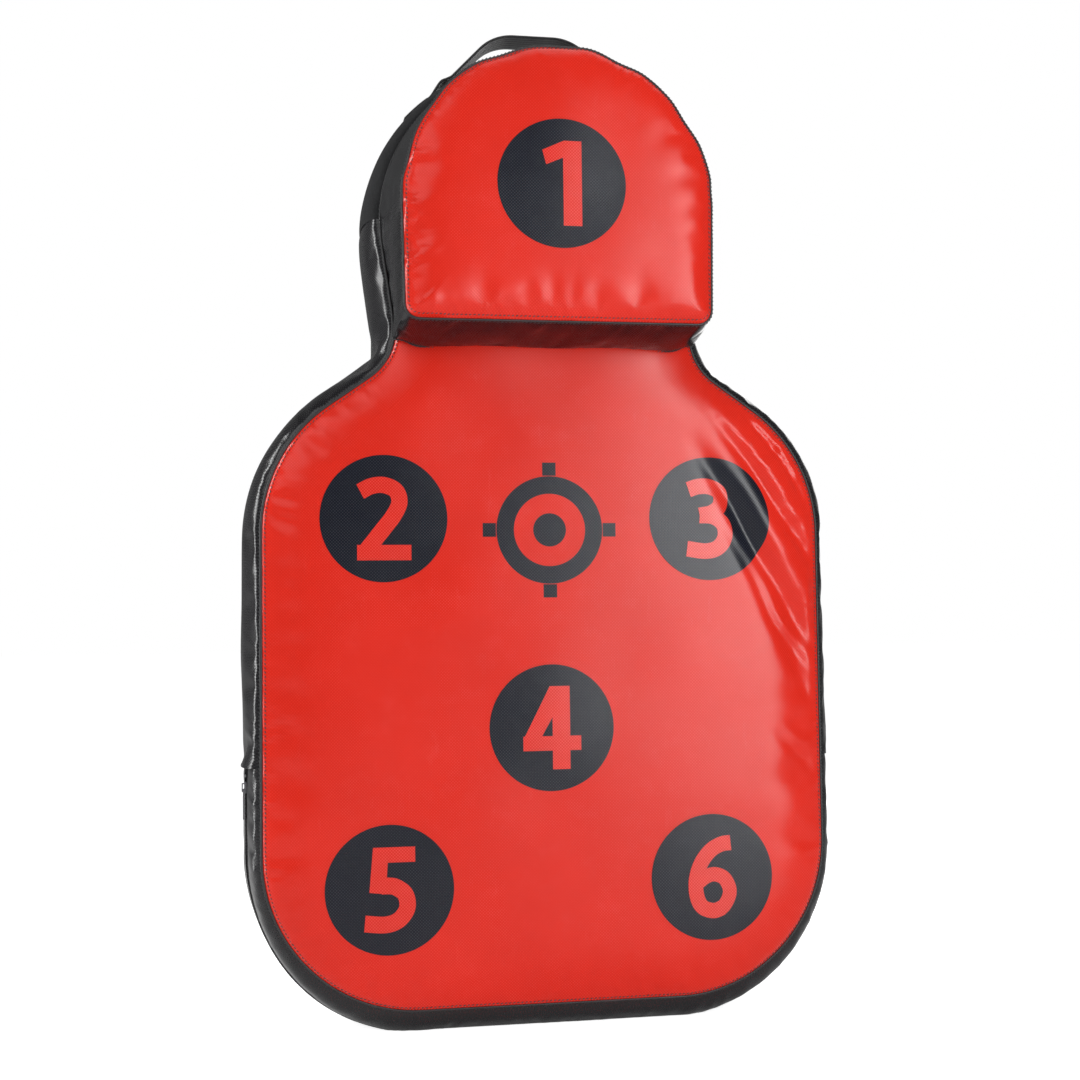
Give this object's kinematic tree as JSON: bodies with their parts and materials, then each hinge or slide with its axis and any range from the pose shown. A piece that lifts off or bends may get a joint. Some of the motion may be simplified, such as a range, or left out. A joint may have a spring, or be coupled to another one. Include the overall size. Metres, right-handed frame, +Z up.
{
  "type": "dummy strike shield",
  "caption": "Padded head-and-torso strike shield with a proud head block, round numbered targets, zipped side gussets, back grips, forearm straps and a top carrying handle.",
  "frame": {"origin": "on the floor, at the middle of the flat base under the middle of the torso's thickness", "axes": "+Z up through the head, -Y towards the printed strike face, +X to the right as the striker sees it"},
  "size_m": [0.6171, 0.3058, 1.0412],
  "materials": {
    "red_coated_fabric": "satin",
    "black_coated_fabric": "gloss",
    "black_woven": "matte",
    "webbing": "matte",
    "hook_and_loop": "matte",
    "foam": "matte",
    "zip_nylon": "satin",
    "zip_metal": "satin"
  },
  "bodies": {
    "shield": {"torso_front_panel": "red_coated_fabric", "head_front_panel": "red_coated_fabric", "torso_back_panel": "black_coated_fabric", "left_side_gusset": "black_coated_fabric", "right_side_gusset": "black_coated_fabric", "lower_front_gusset": "black_coated_fabric", "lower_rear_gusset": "black_coated_fabric", "head_block_bottom_gusset": "black_coated_fabric", "head_block_left_gusset": "black_coated_fabric", "head_block_right_gusset": "black_coated_fabric", "left_grip_patch": "black_coated_fabric", "right_grip_patch": "black_coated_fabric", "left_forearm_patch": "black_coated_fabric", "right_forearm_patch": "black_coated_fabric", "head_arch_gusset": "black_woven", "head_block_arch_gusset": "black_woven", "top_handle_left_tab": "webbing", "top_handle_right_tab": "webbing", "left_grip_lower_tab": "webbing", "left_grip_upper_tab": "webbing", "left_forearm_under_strap": "webbing", "left_forearm_flap_tab": "webbing", "right_grip_lower_tab": "webbing", "right_grip_upper_tab": "webbing", "right_forearm_under_strap": "webbing", "right_forearm_flap_tab": "webbing", "left_forearm_loop_pad": "hook_and_loop", "right_forearm_loop_pad": "hook_and_loop", "torso_strike_foam": "foam", "torso_core_foam": "foam", "torso_backing_foam": "foam", "head_strike_foam": "foam", "head_core_foam": "foam", "zip_tape_front": "zip_nylon", "zip_tape_rear": "zip_nylon", "zip_coil_front": "zip_nylon", "zip_coil_rear": "zip_nylon", "zip_stop_left": "zip_metal", "zip_stop_right": "zip_metal"},
    "slider": {"zip_slider": "zip_metal"},
    "pull": {"zip_pull": "zip_metal"},
    "top_handle": {"top_handle_webbing": "webbing"},
    "left_grip": {"left_grip_webbing": "webbing", "left_grip_sleeve": "black_coated_fabric"},
    "right_grip": {"right_grip_webbing": "webbing", "right_grip_sleeve": "black_coated_fabric"},
    "left_flap": {"left_forearm_flap": "webbing", "left_forearm_hook_pad": "hook_and_loop"},
    "right_flap": {"right_forearm_flap": "webbing", "right_forearm_hook_pad": "hook_and_loop"}
  },
  "joints": [
    {"name": "zip_slide", "type": "slide", "parent": "shield", "child": "slider", "axis": [0, 0, -1], "range_m": [0, 0.06]},
    {"name": "zip_pull_swing", "type": "hinge", "parent": "slider", "child": "pull", "pos_m": [-0.30796, -0.0293, 0.245], "axis": [-0.1099, 0.9939, 0], "range_deg": [0, 160]},
    {"name": "top_handle_sway", "type": "hinge", "parent": "shield", "child": "top_handle", "pos_m": [0, 0, 0.9925], "axis": [1, 0, 0], "range_deg": [-20, 20], "stiffness_Nm_per_rad": 0.03},
    {"name": "left_grip_sway", "type": "hinge", "parent": "shield", "child": "left_grip", "pos_m": [-0.105, 0.0836, 0.5], "axis": [0, 0, 1], "range_deg": [-20, 20], "stiffness_Nm_per_rad": 0.05},
    {"name": "right_grip_sway", "type": "hinge", "parent": "shield", "child": "right_grip", "pos_m": [0.105, 0.0836, 0.5], "axis": [0, 0, 1], "range_deg": [-20, 20], "stiffness_Nm_per_rad": 0.05},
    {"name": "left_flap_open", "type": "hinge", "parent": "shield", "child": "left_flap", "pos_m": [-0.205, 0.0828, 0.525], "axis": [1, 0, 0], "range_deg": [0, 70]},
    {"name": "right_flap_open", "type": "hinge", "parent": "shield", "child": "right_flap", "pos_m": [0.205, 0.0828, 0.525], "axis": [1, 0, 0], "range_deg": [0, 70]}
  ]
}
